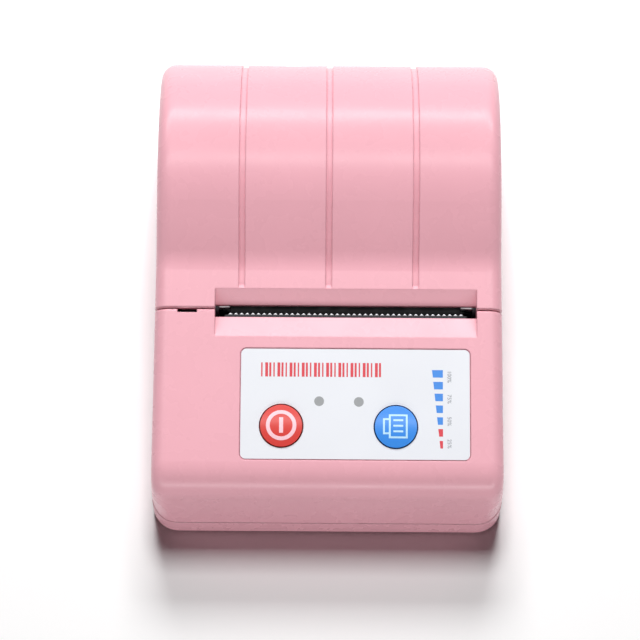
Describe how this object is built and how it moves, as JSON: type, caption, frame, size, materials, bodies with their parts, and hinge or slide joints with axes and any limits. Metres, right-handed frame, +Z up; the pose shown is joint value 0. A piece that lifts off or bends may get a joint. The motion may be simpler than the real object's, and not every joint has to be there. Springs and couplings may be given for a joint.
{
  "type": "thermal receipt printer",
  "caption": "Portable thermal receipt printer with a hinged domed paper cover, tear bar, platen mechanism, push buttons and battery door.",
  "frame": {"origin": "on the ground under the middle of the body", "axes": "+X to the right seen from the front, +Y to the back, +Z up"},
  "size_m": [0.08, 0.108, 0.0477],
  "materials": {
    "pink_plastic": "satin moulded",
    "panel_white": "satin film",
    "button_red": "gloss moulded",
    "button_blue": "gloss moulded",
    "lamp_grey": "smoked",
    "rubber_black": "smooth",
    "rubber_pink": "matte",
    "steel": "bright",
    "aluminium": "milled",
    "ceramic": "glazed",
    "black_plastic": "matte",
    "gear_black": "moulded",
    "brass": "bright",
    "board_green": "solder mask",
    "battery_wrap": "shrink film",
    "flex_amber": "film",
    "lamp_chip": "clear"
  },
  "bodies": {
    "housing": {"lower_housing": "pink_plastic", "upper_housing": "pink_plastic", "hinge_pins": "steel", "rubber_feet": "rubber_pink", "housing_screws": "steel", "panel_overlay": "panel_white", "lamp_windows": "lamp_grey", "tear_bar": "steel", "mechanism_frame": "steel", "mechanism_screws": "steel", "paper_guide": "black_plastic", "paper_sensor": "black_plastic", "paper_bay": "pink_plastic", "head_spring": "steel", "head_flex": "flex_amber", "flex_connector": "black_plastic", "idler_axle": "steel", "motor_can": "steel", "main_board": "board_green", "tact_switches": "black_plastic", "indicator_leds": "lamp_chip", "usb_socket": "steel", "wireless_module": "steel", "battery_pack": "battery_wrap", "battery_contacts": "brass"},
    "cover": {"paper_cover": "pink_plastic", "platen_bushings": "steel"},
    "platen": {"platen_shaft": "steel", "platen_rubber": "rubber_black", "platen_gear": "gear_black"},
    "idler": {"idler_gear": "gear_black"},
    "motor_rotor": {"motor_shaft": "steel", "motor_pinion": "brass"},
    "power_key": {"power_button": "button_red"},
    "feed_key": {"feed_button": "button_blue"},
    "door": {"battery_door": "pink_plastic"},
    "head": {"head_heat_sink": "aluminium", "print_head": "ceramic"}
  },
  "joints": [
    {"name": "cover_hinge", "type": "hinge", "parent": "housing", "child": "cover", "pos_m": [0, 0.05165, 0.017], "axis": [-1, 0, 0], "range_deg": [0, 100]},
    {"name": "platen_spin", "type": "hinge", "parent": "cover", "child": "platen", "pos_m": [0, -0.008, 0.02506], "axis": [1, 0, 0], "continuous": true},
    {"name": "idler_spin", "type": "hinge", "parent": "housing", "child": "idler", "pos_m": [0, -0.00907, 0.01714], "axis": [1, 0, 0], "continuous": true},
    {"name": "motor_spin", "type": "hinge", "parent": "housing", "child": "motor_rotor", "pos_m": [0, -0.00384, 0.01044], "axis": [1, 0, 0], "continuous": true},
    {"name": "power_button_press", "type": "slide", "parent": "housing", "child": "power_key", "axis": [0, 0.2079, -0.9781], "range_m": [0, 0.0005], "stiffness_N_per_m": 400},
    {"name": "feed_button_press", "type": "slide", "parent": "housing", "child": "feed_key", "axis": [0, 0.2079, -0.9781], "range_m": [0, 0.0005], "stiffness_N_per_m": 400},
    {"name": "battery_door_hinge", "type": "hinge", "parent": "housing", "child": "door", "pos_m": [0, -0.048, 0.0015], "axis": [-1, 0, 0], "range_deg": [0, 75]},
    {"name": "head_pivot", "type": "hinge", "parent": "housing", "child": "head", "pos_m": [0, -0.01535, 0.01856], "axis": [1, 0, 0], "range_deg": [0, 1.8], "stiffness_Nm_per_rad": 0.5}
  ],
  "couplings": [
    {"joint": "idler_spin", "follows": "platen_spin", "ratio": -1.6667},
    {"joint": "motor_spin", "follows": "platen_spin", "ratio": 3.0556}
  ]
}
